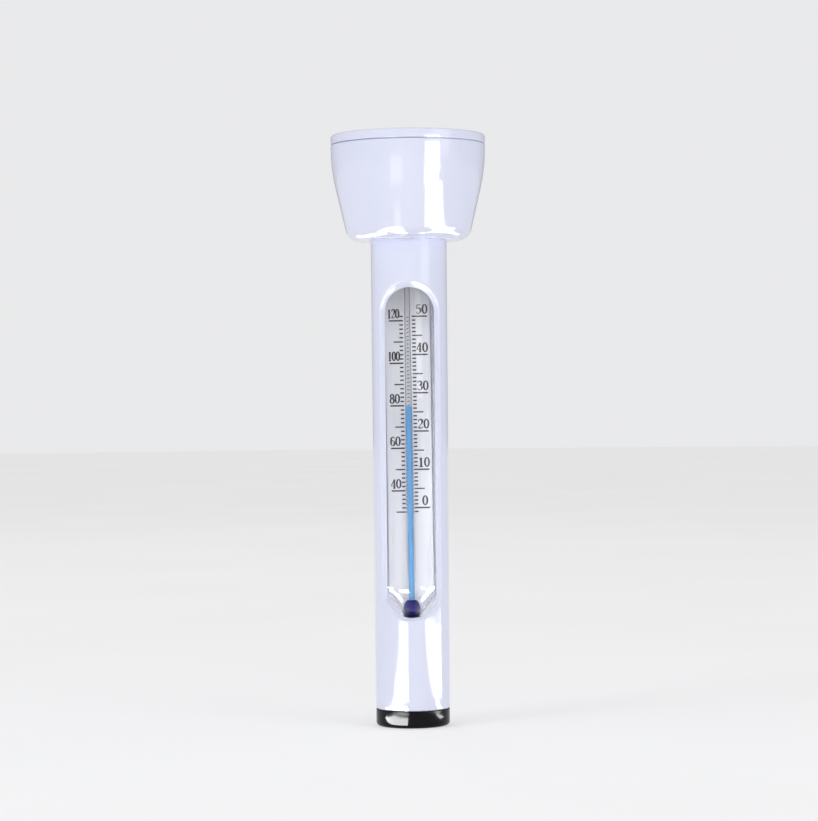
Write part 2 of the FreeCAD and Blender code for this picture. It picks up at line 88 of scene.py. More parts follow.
ZERO_C = 57.07  # height of the Celsius zero
DEGREE = 1.0075  # height of one Celsius degree
PLATE_FRONT = 1.3
CAPILLARY_RADIUS = 1.25
BORE_RADIUS = 0.52
THREAD_RADIUS = 0.47
NECK = 32.9
THREAD_HEAD = 83.9
BULB_RADIUS = 2.25
BULB_CENTRE = 30.7
BULB_SIDE = 0.1
BULB_WALL = 0.16


# ---------------------------------------------------------------- mesh tools
def make_object(name, points, faces, sharp_deg=32.0, place=None):
    """Makes a smooth-shaded object from points in millimetres."""
    mesh = bpy.data.meshes.new(name)
    mesh.from_pydata([Vector(p) * MM for p in points], [], faces)
    mesh.validate()
    tidy = bmesh.new()
    tidy.from_mesh(mesh)
    bmesh.ops.remove_doubles(tidy, verts=tidy.verts, dist=0.002 * MM)
    bmesh.ops.recalc_face_normals(tidy, faces=tidy.faces)
    tidy.to_mesh(mesh)
    tidy.free()
    if place is not None:
        mesh.transform(place)
    mesh.shade_smooth()
    mesh.set_sharp_from_angle(angle=math.radians(sharp_deg))
    obj = bpy.data.objects.new(name, mesh)
    bpy.context.scene.collection.objects.link(obj)
    return obj


def rounded(corners, steps=10):
    """Rounds the corners of an outline. Each corner is (across, up) or (across, up, radius)."""
    outline = []
    count = len(corners)
    for index, corner in enumerate(corners):
        here = Vector(corner[:2])
        radius = corner[2] if len(corner) > 2 else 0.0
        if radius <= 0:
            outline.append(here)
            continue
        before = (Vector(corners[index - 1][:2]) - here).normalized()
        after = (Vector(corners[(index + 1) % count][:2]) - here).normalized()
        half = math.acos(max(-1.0, min(1.0, before.dot(after)))) / 2
        reach = radius / math.tan(half)
        centre = here + (before + after).normalized() * (radius / math.sin(half))
        start = here + before * reach - centre
        end = here + after * reach - centre
        turn = start.angle_signed(end)
        for step in range(steps + 1):
            spin = Matrix.Rotation(-turn * step / steps, 2)
            outline.append(centre + spin @ start)
    return outline


def lathe(name, outline, segments=144, sharp_deg=32.0, place=None):
    """Turns a closed outline of (radius, height) about the Z axis."""
    points, faces, rings = [], [], []
    for radius, height in outline:
        if radius < 1e-6:
            rings.append([len(points)] * segments)
            points.append((0, 0, height))
            continue
        rings.append(list(range(len(points), len(points) + segments)))
        for step in range(segments):
            angle = 2 * math.pi * step / segments
            points.append((radius * math.cos(angle), radius * math.sin(angle), height))
    for index, ring in enumerate(rings):
        following = rings[(index + 1) % len(rings)]
        for step in range(segments):
            beside = (step + 1) % segments
            corners = [ring[step], ring[beside], following[beside], following[step]]
            corners = list(dict.fromkeys(corners))
            if len(corners) > 2:
                faces.append(corners)
    return make_object(name, points, faces, sharp_deg, place)


def finish_piece(obj, material, body, slot, *nodes):
    """Gives a piece its material and its body, and hides the nodes that it stands for. The slot argument is
    not used.
    """
    obj.data.materials.clear()
    obj.data.materials.append(material)
    if nodes:
        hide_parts(*nodes)
    if body:
        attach(obj, body)
    return obj


# ---------------------------------------------------------------- materials
class Nodes:
    """A short way to write a material's node tree."""

    def __init__(self, name):
        self.material = bpy.data.materials.new(name)
        self.material.use_nodes = True
        self.tree = self.material.node_tree
        self.tree.nodes.clear()
        self.output = self.add("ShaderNodeOutputMaterial")
        self.place = self.add("ShaderNodeTexCoord").outputs["Object"]

    def add(self, kind, **settings):
        node = self.tree.nodes.new(kind)
        for key, value in settings.items():
            setattr(node, key, value)
        return node

    def link(self, start, end):
        self.tree.links.new(start, end)

    def stretched(self, scale):
        """Object coordinates in metres, times a scale for each axis."""
        mapping = self.add("ShaderNodeMapping")
        mapping.inputs["Scale"].default_value = scale
        self.link(self.place, mapping.inputs["Vector"])
        return mapping.outputs["Vector"]

    def noise(self, scale, detail=4.0, vector=None, roughness=0.5):
        node = self.add("ShaderNodeTexNoise")
        node.inputs["Scale"].default_value = scale
        node.inputs["Detail"].default_value = detail
        node.inputs["Roughness"].default_value = roughness
        self.link(vector or self.place, node.inputs["Vector"])
        return node.outputs["Fac"]

    def ramp(self, source, stops):
        """Colours between (place, colour) stops."""
        node = self.add("ShaderNodeValToRGB")
        elements = node.color_ramp.elements
        while len(elements) < len(stops):
            elements.new(0.5)
        for element, (spot, colour) in zip(elements, stops):
            element.position = spot
            element.color = (*colour, 1.0)
        self.link(source, node.inputs["Fac"])
        return node.outputs["Color"]

    def spread(self, source, low, high):
        """Moves a 0 to 1 value into the range low to high."""
        node = self.add("ShaderNodeMapRange")
        node.inputs["To Min"].default_value = low
        node.inputs["To Max"].default_value = high
        self.link(source, node.inputs["Value"])
        return node.outputs["Result"]

    def bump(self, height, distance, strength):
        node = self.add("ShaderNodeBump")
        node.inputs["Strength"].default_value = strength
        node.inputs["Distance"].default_value = distance
        self.link(height, node.inputs["Height"])
        return node.outputs["Normal"]

    def principled(self, **values):
        shader = self.add("ShaderNodeBsdfPrincipled")
        for key, value in values.items():
            shader.inputs[key.replace("_", " ")].default_value = value
        return shader

    def surface(self, shader):
        """Ends the material with this shader."""
        self.link(shader.outputs["BSDF"], self.output.inputs["Surface"])
        return self.material


def white_plastic():
    """Glossy injection-moulded shell, lavender white, with a faint flow pattern and fine scuffs."""
    n = Nodes("white_plastic")
    shader = n.principled(IOR=1.5)
    flow = n.noise(90.0, 3.0, n.stretched((1.0, 1.0, 0.35)))
    colour = n.ramp(flow, [(0.3, (0.665, 0.688, 0.828)), (0.7, (0.690, 0.712, 0.848))])
    n.link(colour, shader.inputs["Base Color"])
    scuff = n.noise(700.0, 5.0, n.stretched((1.0, 1.0, 4.0)), 0.6)
    n.link(n.spread(scuff, 0.05, 0.14), shader.inputs["Roughness"])
    ripple = n.noise(140.0, 2.0)
    n.link(n.bump(ripple, 0.00002, 0.05), shader.inputs["Normal"])
    return n.surface(shader)


def tube_bore():
    """Bore of the white tube, with a painted glow: emission, bright at its low end and faint above, stands
    in for light that comes up through its foot.
    """
    bright_below, faint_above = 0.0315, 0.0365
    bright, faint = 0.5, 0.05
    n = Nodes("tube_bore")
    shader = n.principled(IOR=1.5)
    flow = n.noise(90.0, 3.0, n.stretched((1.0, 1.0, 0.35)))
    colour = n.ramp(flow, [(0.3, (0.665, 0.675, 0.755)), (0.7, (0.690, 0.700, 0.785))])
    n.link(colour, shader.inputs["Base Color"])
    n.link(colour, shader.inputs["Emission Color"])
    parts = n.add("ShaderNodeSeparateXYZ")
    n.link(n.place, parts.inputs["Vector"])
    # painted glow: emission strength, bright at the bore's foot and faint over the rest of the bore, in
    # place of light coming in
    painted_glow = n.add("ShaderNodeMapRange", interpolation_type="SMOOTHSTEP")
    painted_glow.inputs["From Min"].default_value = bright_below
    painted_glow.inputs["From Max"].default_value = faint_above
    painted_glow.inputs["To Min"].default_value = bright
    painted_glow.inputs["To Max"].default_value = faint
    n.link(parts.outputs["Z"], painted_glow.inputs["Value"])
    n.link(painted_glow.outputs["Result"], shader.inputs["Emission Strength"])
    n.link(n.spread(flow, 0.12, 0.2), shader.inputs["Roughness"])
    return n.surface(shader)


def black_plastic():
    """Glossy black cap, a little blue, with fine scuffs."""
    n = Nodes("black_plastic")
    shader = n.principled(IOR=1.5, Specular_IOR_Level=0.15)
    cloud = n.noise(160.0, 3.0)
    n.link(
        n.ramp(cloud, [(0.3, (0.0018, 0.0018, 0.0032)), (0.75, (0.0030, 0.0030, 0.0052))]),
        shader.inputs["Base Color"],
    )
    scuff = n.noise(900.0, 5.0, n.stretched((1.0, 1.0, 3.0)), 0.6)
    n.link(n.spread(scuff, 0.06, 0.16), shader.inputs["Roughness"])
    n.link(n.bump(n.noise(220.0, 2.0), 0.00002, 0.3), shader.inputs["Normal"])
    return n.surface(shader)


def rubber(name, dark, light):
    """Matt rubber with a dusty bloom and a fine grain."""
    n = Nodes(name)
    shader = n.principled(IOR=1.5)
    bloom = n.noise(300.0, 6.0)
    n.link(n.ramp(bloom, [(0.35, dark), (0.75, light)]), shader.inputs["Base Color"])
    grain = n.noise(2600.0, 3.0)
    n.link(n.spread(bloom, 0.45, 0.68), shader.inputs["Roughness"])
    n.link(n.bump(grain, 0.00003, 0.5), shader.inputs["Normal"])
    return n.surface(shader)


def foam():
    """Open-cell foam."""
    n = Nodes("foam")
    shader = n.principled()
    cells = n.add("ShaderNodeTexVoronoi")
    cells.inputs["Scale"].default_value = 1300.0
    n.link(n.place, cells.inputs["Vector"])
    n.link(
        n.ramp(cells.outputs["Distance"], [(0.0, (0.03, 0.03, 0.035)), (0.6, (0.16, 0.16, 0.18))]),
        shader.inputs["Base Color"],
    )
    n.link(n.spread(cells.outputs["Distance"], 0.8, 0.95), shader.inputs["Roughness"])
    n.link(n.bump(cells.outputs["Distance"], 0.0002, 0.8), shader.inputs["Normal"])
    return n.surface(shader)


def turned_steel():
    """Steel with fine turning marks round its axis."""
    n = Nodes("turned_steel")
    shader = n.principled(Metallic=1.0)
    marks = n.noise(40.0, 4.0, n.stretched((1.0, 1.0, 120.0)), 0.7)
    n.link(
        n.ramp(marks, [(0.3, (0.40, 0.40, 0.42)), (0.7, (0.60, 0.60, 0.61))]),
        shader.inputs["Base Color"],
    )
    n.link(n.spread(marks, 0.22, 0.42), shader.inputs["Roughness"])
    n.link(n.bump(marks, 0.00003, 0.4), shader.inputs["Normal"])
    return n.surface(shader)


def clear_material(name, ior, tint, low_rough, high_rough):
    """Clear glass or plastic with faint smudges. Lamps reach what is behind it."""
    n = Nodes(name)
    shader = n.principled(IOR=ior, Transmission_Weight=1.0)
    smudge = n.noise(240.0, 5.0, n.stretched((1.0, 1.0, 0.4)), 0.6)
    n.link(
        n.ramp(smudge, [(0.35, tint), (0.75, (0.985, 0.99, 1.0))]), shader.inputs["Base Color"]
    )
    n.link(n.spread(smudge, low_rough, high_rough), shader.inputs["Roughness"])
    clear = n.add("ShaderNodeBsdfTransparent")
    clear.inputs["Color"].default_value = (*tint, 1.0)
    mix = n.add("ShaderNodeMixShader")
    path = n.add("ShaderNodeLightPath")
    n.link(path.outputs["Is Shadow Ray"], mix.inputs["Fac"])
    n.link(shader.outputs["BSDF"], mix.inputs[1])
    n.link(clear.outputs["BSDF"], mix.inputs[2])
    n.link(mix.outputs["Shader"], n.output.inputs["Surface"])
    return n.material


def scale_strip():
    """Satin silver strip with a fine drawn grain, with painted shade: darker towards its left side and its
    head, where the window's edges shade it.
    """
    n = Nodes("scale_strip")
    shader = n.principled(IOR=1.45)
    grain = n.noise(900.0, 4.0, n.stretched((1.0, 1.0, 0.03)), 0.6)
    silver = n.ramp(grain, [(0.3, (0.765, 0.768, 0.815)), (0.7, (0.825, 0.828, 0.87))])
    parts = n.add("ShaderNodeSeparateXYZ")
    n.link(n.place, parts.inputs["Vector"])
    # painted shade: colour scaled to 0.86 on the strip's left side and to 0.74 towards its head, for the
    # shade cast by the window's edges
    for axis, start, end, low, high in (
        ("X", -0.0025, 0.0020, 0.86, 1.0),
        ("Z", 0.1020, 0.1130, 1.0, 0.74),
    ):
        painted_shade = n.add("ShaderNodeMapRange", interpolation_type="SMOOTHSTEP")
        for key, value in (("From Min", start), ("From Max", end), ("To Min", low), ("To Max", high)):
            painted_shade.inputs[key].default_value = value
        n.link(parts.outputs[axis], painted_shade.inputs["Value"])
        tone = n.add("ShaderNodeVectorMath", operation="SCALE")
        n.link(silver, tone.inputs["Vector"])
        n.link(painted_shade.outputs["Result"], tone.inputs["Scale"])
        silver = tone.outputs["Vector"]
    n.link(silver, shader.inputs["Base Color"])
    n.link(n.spread(grain, 0.32, 0.5), shader.inputs["Roughness"])
    n.link(n.bump(grain, 0.00001, 0.3), shader.inputs["Normal"])
    return n.surface(shader)


def print_ink():
    """Black screen-print ink, uneven where it lies thin."""
    n = Nodes("print_ink")
    shader = n.principled(IOR=1.45, Specular_IOR_Level=0.2)
    cover = n.noise(3500.0, 3.0)
    n.link(
        n.ramp(cover, [(0.3, (0.006, 0.006, 0.008)), (0.8, (0.03, 0.03, 0.036))]),
        shader.inputs["Base Color"],
    )
    n.link(n.spread(cover, 0.45, 0.65), shader.inputs["Roughness"])
    return n.surface(shader)


def dye(name, deep, pale, roughness=0.1):
    """Dyed liquid, a little uneven in depth."""
    n = Nodes(name)
    shader = n.principled(IOR=1.36, Roughness=roughness)
    depth = n.noise(420.0, 4.0, n.stretched((1.0, 1.0, 0.5)))
    n.link(n.ramp(depth, [(0.3, deep), (0.72, pale)]), shader.inputs["Base Color"])
    return n.surface(shader)


def matt_white(name):
    """Matt white moulding of the hidden plug and clip."""
    n = Nodes(name)
    shader = n.principled(IOR=1.5)
    cloud = n.noise(250.0, 4.0)
    n.link(
        n.ramp(cloud, [(0.3, (0.70, 0.70, 0.72)), (0.7, (0.78, 0.78, 0.79))]),
        shader.inputs["Base Color"],
    )
    n.link(n.spread(cloud, 0.4, 0.6), shader.inputs["Roughness"])
    n.link(n.bump(n.noise(1800.0, 2.0), 0.00002, 0.4), shader.inputs["Normal"])
    return n.surface(shader)


def floor_paint():
    """Pale seamless floor."""
    n = Nodes("pale_floor")
    shader = n.principled(Roughness=1.0)
    shader.inputs["Specular IOR Level"].default_value = 0.0
    paint = n.ramp(n.noise(6.0, 2.0), [(0.3, (0.45, 0.45, 0.453)), (0.7, (0.46, 0.46, 0.463))])
    n.link(paint, shader.inputs["Base Color"])
    n.link(paint, shader.inputs["Emission Color"])
    shader.inputs["Emission Strength"].default_value = 1.05
    return n.surface(shader)


# ---------------------------------------------------------------- float
def make_float_cup(material):
    """Tapered cup of the float, with the closed collar that the tube pushes into."""
    wall = 1.8
    socket = TUBE_HEAD_RADIUS + 0.05
    collar = socket + 1.7
    ceiling = TUBE_HEAD + 0.05
    outline = rounded(
        [
            (socket, FLOAT_BASE, 0.25),
            (15.9, FLOAT_BASE, 3.7),
            (FLOAT_RADIUS, 146.4, 45.0),
            (FLOAT_RADIUS, FLOAT_RIM - 0.3, 0.1),
            (FLOAT_RADIUS - 0.7, FLOAT_RIM - 0.3),
            (FLOAT_RADIUS - 0.7, FLOAT_RIM),
            (18.4, FLOAT_RIM),
            (18.4, 146.4, 40.0),
            (15.9 - wall, FLOAT_BASE + wall, 1.8),
            (collar, FLOAT_BASE + wall, 0.8),
            (collar, ceiling + wall, 0.6),
            (0, ceiling + wall),
            (0, ceiling),
            (socket, ceiling),
        ],
        steps=14,
    )
    cup = lathe("float_cup_shell", outline, 192)
    return finish_piece(cup, material, "housing", "white_shell", "float_cup")


def lug_faces(half_width, thickness, base, top, hole_radius, hole_height):
    """Points and faces of the tether lug, an arch with a round hole and softened edges."""
    steps = 64
    bevel = 0.35
    foot_flare = 1.35  # how soon the arch's sides reach their full width
    points, faces = [], []

    def arch(angle, shrink):
        reach = half_width - shrink
        centre = top - half_width
        if math.sin(angle) >= 0:
            return (reach * math.cos(angle), centre + reach * math.sin(angle))
        drop = -math.sin(angle) * (centre - base)
        side = max(-1.0, min(1.0, math.cos(angle) * foot_flare))
        return (reach * side, centre - drop)

    levels = [
        (bevel, -thickness / 2, False),
        (0.0, -thickness / 2 + bevel, False),
        (0.0, thickness / 2 - bevel, False),
        (bevel, thickness / 2, False),
        (bevel, thickness / 2, True),
        (0.0, thickness / 2 - bevel, True),
        (0.0, -thickness / 2 + bevel, True),
        (bevel, -thickness / 2, True),
    ]
    for shrink, depth, inside in levels:
        for step in range(steps):
            angle = 2 * math.pi * step / steps
            if inside:
                reach = hole_radius + shrink
                across = reach * math.cos(angle)
                up = hole_height + reach * math.sin(angle)
            else:
                across, up = arch(angle, shrink)
            points.append((across, depth, up))
    for level in range(len(levels)):
        following = (level + 1) % len(levels)
        for step in range(steps):
            beside = (step + 1) % steps
            faces.append(
                (
                    level * steps + step,
                    level * steps + beside,
                    following * steps + beside,
                    following * steps + step,
                )
            )
    return points, faces


def make_float_lid(material):
    """Dished lid with an eye for a tether."""
    floor = 148.6
    wall = 1.8
    spigot = 18.3
    groove = 17.13
    groove_low, groove_high = 150.77, 152.03
    outline = rounded(
        [
            (0, floor - wall),
            (17.0, floor - wall, 0.5),
            (17.0, 148.0),
            (spigot, 149.0),
            (spigot, groove_low),
            (groove, groove_low),
            (groove, groove_high),
            (spigot, groove_high),
            (spigot, FLOAT_RIM),
            (FLOAT_RADIUS, FLOAT_RIM, 0.12),
            (FLOAT_RADIUS, LID_TOP, 0.6),
            (16.4, LID_TOP, 0.6),
            (15.2, floor, 1.6),
            (0, floor),
        ],
        steps=10,
    )
    lid = lathe("float_lid_shell", outline, 192)
    points, faces = lug_faces(4.0, 3.0, floor - 0.6, 154.9, 1.6, 151.3)
    lug = make_object("tether_lug", points, faces, 40.0)
    with bpy.context.temp_override(
        active_object=lid, object=lid, selected_objects=[lid, lug], selected_editable_objects=[lid, lug]
    ):
        bpy.ops.object.join()
    return finish_piece(lid, material, "housing", "white_shell", "float_lid")


# ---------------------------------------------------------------- tube
def stadium(turn, half, top, bottom):
    """A point (across, up) of the window's outline. turn runs from 0 at the right side, counter-clockwise.

    half is the half width, and top and bottom are how high the two end arches reach.
    """
    low = WINDOW_LOW + WINDOW_HALF
    high = WINDOW_HIGH - WINDOW_HALF
    quarter = turn * 4
    if quarter < 0.5:
        return (half, low + (high - low) * (0.5 + quarter))
    if quarter < 1.5:
        angle = (quarter - 0.5) * math.pi
        return (half * math.cos(angle), high + top * math.sin(angle))
    if quarter < 2.5:
        return (-half, high - (high - low) * (quarter - 1.5))
    if quarter < 3.5:
        angle = (quarter - 2.5) * math.pi
        return (-half * math.cos(angle), low - bottom * math.sin(angle))
    return (half, low + (high - low) * (quarter - 3.5))


def window_turns():
    """Places along the outline: few on the straight sides, many on the arches."""
    straight = 18
    arch = 48
    turns = []
    for quarter in range(4):
        pieces = arch if quarter % 2 else straight
        turns += [(quarter - 0.5 + step / pieces) / 4 for step in range(pieces)]
    return [turn % 1.0 for turn in turns]


def wall_radius(up, depth):
    """Radius in the tube's wall at a height. depth is 0 at the bore and 1 at the outside."""
    share = (up - TUBE_FOOT) / (TUBE_HEAD - TUBE_FOOT)
    outside = TUBE_FOOT_RADIUS + (TUBE_HEAD_RADIUS - TUBE_FOOT_RADIUS) * share
    return TUBE_BORE + (outside - TUBE_BORE) * depth


def tube_point(angle, up, depth):
    """A point of the tube at an angle from the front."""
    radius = wall_radius(up, depth)
    return (radius * math.sin(angle), -radius * math.cos(angle), up)


def tube_angle(across, up, depth):
    """The angle from the front of a point at this distance from the middle plane."""
    return math.asin(max(-1.0, min(1.0, across / wall_radius(up, depth))))


# (share, depth) of the window's edge, from the opening in the bore to the rim's outer edge
RIM_PROFILE = [
    (0.02, 0.0),
    (0.0, 0.05),
    (0.01, 0.12),
    (0.12, 0.24),
    (0.34, 0.46),
    (0.56, 0.68),
    (0.66, 0.78),
    (0.76, 0.87),
    (0.84, 0.93),
    (0.92, 0.975),
    (1.0, 1.0),
]
PATCH_ANGLE = math.radians(66.0)
PATCH_LOW = WINDOW_LOW - 2.6
PATCH_HIGH = WINDOW_HIGH + 3.6


def patch_edge(turn):
    """The place (angle, up) on the rectangle round the window that belongs to a place on its outline."""
    quarter = turn * 4
    low = WINDOW_LOW + WINDOW_HALF
    high = WINDOW_HIGH - WINDOW_HALF
    if quarter < 0.5 or quarter >= 3.5:
        share = quarter + 0.5 if quarter < 0.5 else quarter - 3.5
        return (PATCH_ANGLE, low + (high - low) * share)
    if 1.5 <= quarter < 2.5:
        return (-PATCH_ANGLE, high - (high - low) * (quarter - 1.5))
    upper = quarter < 1.5
    share = (quarter - 0.5) if upper else (quarter - 2.5)
    start, end = (high, PATCH_HIGH) if upper else (low, PATCH_LOW)
    side = 1 if upper else -1
    if share < 0.25:
        return (side * PATCH_ANGLE, start + (end - start) * share * 4)
    if share < 0.75:
        return (side * PATCH_ANGLE * (1 - (share - 0.25) * 4), end)
    return (-side * PATCH_ANGLE, end + (start - end) * (share - 0.75) * 4)


def make_outer_tube(material, bore_material):
    """White tube whose window has a flared, rounded rim, all in quads that follow the window."""
    turns = window_turns()
    points, faces = [], []

    def add_ring(ring):
        points.extend(ring)
        return list(range(len(points) - len(ring), len(points)))

    def bridge(first, second):
        for step in range(len(first)):
            beside = (step + 1) % len(first)
            faces.append((first[step], first[beside], second[beside], second[step]))

    def rim_ring(share, depth):
        """A ring between the opening (share 0) and the rim's outer edge (share 1)."""
        ring = []
        for turn in turns:
            across, up = stadium(turn, WINDOW_HALF, WINDOW_HALF, WINDOW_HALF)
            wide, far = rim_edge(turn)
            across += (wide - across) * share
            up += (far - up) * share
            ring.append(tube_point(tube_angle(across, up, depth), up, depth))
        return ring

    def sheet_ring(start, share, depth):
        """A ring between an outline (share 0) and the rectangle round it (share 1)."""
        ring = []
        for turn in turns:
            across, up = start(turn)
            near = tube_angle(across, up, depth)
            angle, far = patch_edge(turn)
            ring.append(
                tube_point(near + (angle - near) * share, up + (far - up) * share, depth)
            )
        return ring

    def rim_edge(turn):
        return stadium(
            turn, WINDOW_HALF + RIM_SIDE, WINDOW_HALF + RIM_TOP, WINDOW_HALF + RIM_BOTTOM
        )

    def opening(turn):
        return stadium(turn, WINDOW_HALF, WINDOW_HALF, WINDOW_HALF)

    rings = [add_ring(rim_ring(share, depth)) for share, depth in RIM_PROFILE]
    for share in (0.12, 0.3, 0.55, 0.8, 1.0):
        rings.append(add_ring(sheet_ring(rim_edge, share, 1.0)))
    inner = [rings[0]]
    for share in (0.3, 0.65, 1.0):
        inner.append(add_ring(sheet_ring(opening, share, 0.0)))
    for first, second in list(zip(rings, rings[1:])) + list(zip(inner, inner[1:])):
        bridge(first, second)

    edge = [patch_edge(turn) for turn in turns]
    side_heights = sorted({round(up, 5) for angle, up in edge if abs(angle - PATCH_ANGLE) < 1e-6})
    top_angles = sorted({round(angle, 6) for angle, up in edge if abs(up - PATCH_HIGH) < 1e-6})
    back_steps = 60
    back_angles = [
        PATCH_ANGLE + (2 * math.pi - 2 * PATCH_ANGLE) * step / back_steps
        for step in range(back_steps + 1)
    ]

    def sheet(angles, stations):
        """A grid of the tube's wall through (height, depth) stations."""
        first = len(points)
        width = len(angles)
        for up, depth in stations:
            points.extend(tube_point(angle, up, depth) for angle in angles)
        for row in range(len(stations) - 1):
            for column in range(width - 1):
                corner = first + row * width + column
                faces.append((corner, corner + 1, corner + width + 1, corner + width))

    def spaced(low, high, depth, steps=6):
        return [(low + (high - low) * step / steps, depth) for step in range(steps + 1)]

    lip = 0.5
    wall = TUBE_FOOT_RADIUS - TUBE_BORE
    foot = []
    for step in range(7):
        angle = step / 6 * math.pi / 2
        foot.append(
            (TUBE_FOOT + lip * (1 - math.cos(angle)), 1 - lip * (1 - math.sin(angle)) / wall)
        )
    around = top_angles + back_angles[1:]
    for depth in (0.0, 1.0):
        sheet(back_angles, [(up, depth) for up in side_heights])
        sheet(around, spaced(PATCH_HIGH, TUBE_HEAD, depth))
    sheet(around, spaced(TUBE_FOOT, PATCH_LOW, 0.0))
    sheet(around, foot + spaced(TUBE_FOOT + lip, PATCH_LOW, 1.0)[1:])
    sheet(around, [(TUBE_FOOT, 0.0), foot[0]])
    sheet(around, [(TUBE_HEAD, 0.0), (TUBE_HEAD, 1.0)])
    tube = make_object("tube_shell", points, faces, 40.0)
    finish_piece(tube, material, "housing", "white_shell", "outer_tube")
    tube.data.materials.append(bore_material)
    for face in tube.data.polygons:
        if face.center.xy.length < (TUBE_BORE + 0.05) * MM:
            face.material_index = 1
    return tube


def make_end_cap(material):
    """Black cap with a ring groove in its foot and a plug for the tube."""
    foot_groove = 0.6
    plug = 7.9
    groove = 6.17
    groove_low, groove_high = 8.07, 9.93
    outline = rounded(
        [
            (0, 0),
            (5.6, 0, 0.15),
            (5.6, foot_groove, 0.1),
            (6.8, foot_groove, 0.1),
            (6.8, 0, 0.15),
            (CAP_RADIUS, 0, 1.0),
            (CAP_RADIUS, TUBE_FOOT, 0.2),
            (plug, TUBE_FOOT),
            (plug, groove_low),
            (groove, groove_low),
            (groove, groove_high),
            (plug, groove_high),
            (plug, CAP_PLUG_TOP, 1.0),
            (0, CAP_PLUG_TOP),
        ],
        steps=10,
    )
    cap = lathe("foot_cap", outline, 160)
    return finish_piece(cap, material, "housing", "black_cap", "end_cap")


# ---------------------------------------------------------------- insert
def make_sheath(material):
    """Clear sheath with a conical closed foot."""
    outside, inside = 7.1, 6.4
    cone_head, head = 35.6, 128.0
    outline = rounded(
        [
            (0, 26.7),
            (0.9, 26.7, 0.3),
            (1.5, 27.6, 0.8),
            (outside, cone_head, 2.0),
            (outside, head, 0.2),
            (inside, head, 0.2),
            (inside, cone_head, 1.6),
            (0.9, 28.0, 0.5),
            (0, 27.8),
        ],
        steps=14,
    )
    sheath = lathe("clear_sheath", outline, 160, place=LEANING)
    return finish_piece(sheath, material, "housing", "clear_sheath", "sheath_tube")


def bulb_outline(radius, neck_radius, neck_height, steps=18):
    """Half outline of the bulb from its foot to its neck: a ball whose shoulder draws in to the neck."""
    outline = []
    for step in range(steps + 1):
        angle = step / steps * math.pi / 2
        outline.append((radius * math.sin(angle), BULB_CENTRE - radius * math.cos(angle)))
    base = BULB_CENTRE + BULB_SIDE
    rise, drop = neck_height - base, radius - neck_radius
    bend = (drop * drop + rise * rise) / (2 * drop)
    reach = math.asin(rise / bend)
    for step in range(steps + 1):
        angle = reach * step / steps
        outline.append((radius - bend * (1 - math.cos(angle)), base + bend * math.sin(angle)))
    outline[0] = (0, outline[0][1])
    return outline


def make_capillary(material):
    """Glass capillary with its bulb. The bore and the bulb's hollow are part of the mesh."""
    outer = bulb_outline(BULB_RADIUS, CAPILLARY_RADIUS, NECK)
    inner = bulb_outline(BULB_RADIUS - BULB_WALL, BORE_RADIUS, NECK)
    outline = outer + [(CAPILLARY_RADIUS, NECK + lead) for lead in (0.1, 0.5, 2.0)]
    outline += rounded([(CAPILLARY_RADIUS, 124.3, 0.4), (0, 124.3), (0, 123.0)])
    outline += [(BORE_RADIUS, 123.0)]
    outline += [(BORE_RADIUS, NECK + lead) for lead in (2.0, 0.5, 0.1)] + inner[::-1]
    capillary = lathe("capillary_glass", outline, 96, 50.0, LEANING)
    return finish_piece(capillary, material, "housing", "capillary_glass", "capillary_tube")


def make_bulb_liquid(material):
    """Indigo liquid in the bulb."""
    radius = BULB_RADIUS - BULB_WALL - 0.02
    outline = bulb_outline(radius, THREAD_RADIUS, NECK) + [(0, NECK)]
    liquid = lathe("bulb_dye", outline, 96, 60.0, LEANING)
    return finish_piece(liquid, material, "housing", "bulb_dye", "bulb_liquid")


def make_thread(material):
    """Blue thread in the bore, with its foot in the bulb's neck."""
    steps = 90
    foot = NECK
    outline = [(0, foot), (THREAD_RADIUS, foot)]
    for step in range(1, steps):
        outline.append((THREAD_RADIUS, foot + (THREAD_HEAD - 0.1 - foot) * step / steps))
    outline += [(THREAD_RADIUS, THREAD_HEAD), (THREAD_RADIUS * 0.6, THREAD_HEAD - 0.06)]
    outline += [(0, THREAD_HEAD - 0.08)]
    thread = lathe("liquid_thread", outline, 48, 50.0, LEANING)
    finish_piece(thread, material, None, "thread_dye", "indicator_column")
    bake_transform(thread)
    return thread


def make_plate(material):
    """Scale strip with rounded top corners and a foot cut to fit the cone."""
    half, foot_half = 6.1, 4.2
    foot, shoulder, head = 33.4, 36.0, 124.5
    thickness = 0.4
    corners = rounded(
        [
            (-foot_half, foot, 0.5),
            (foot_half, foot, 0.5),
            (half, shoulder, 1.0),
            (half, head, 0.8),
            (-half, head, 0.8),
            (-half, shoulder, 1.0),
        ],
        steps=6,
    )
    bevel = 0.06
    middle = Vector((0, 79.0))
    levels = [(bevel, 0.0), (0.0, bevel), (0.0, thickness - bevel), (bevel, thickness)]
    points, faces = [], []
    count = len(corners)
    for shrink, depth in levels:
        for corner in corners:
            inward = (middle - corner).normalized() * shrink
            points.append((corner.x + inward.x, PLATE_FRONT + depth, corner.y + inward.y))
    for level in range(len(levels) - 1):
        for step in range(count):
            beside = (step + 1) % count
            first, second = level * count, (level + 1) * count
            faces.append((first + step, first + beside, second + beside, second + step))
    faces.append(tuple(range(count)))
    faces.append(tuple(range(3 * count, 4 * count)))
    plate = make_object("scale_strip", points, faces, 40.0, LEANING)
    return finish_piece(plate, material, "housing", "scale_strip", "scale_plate")


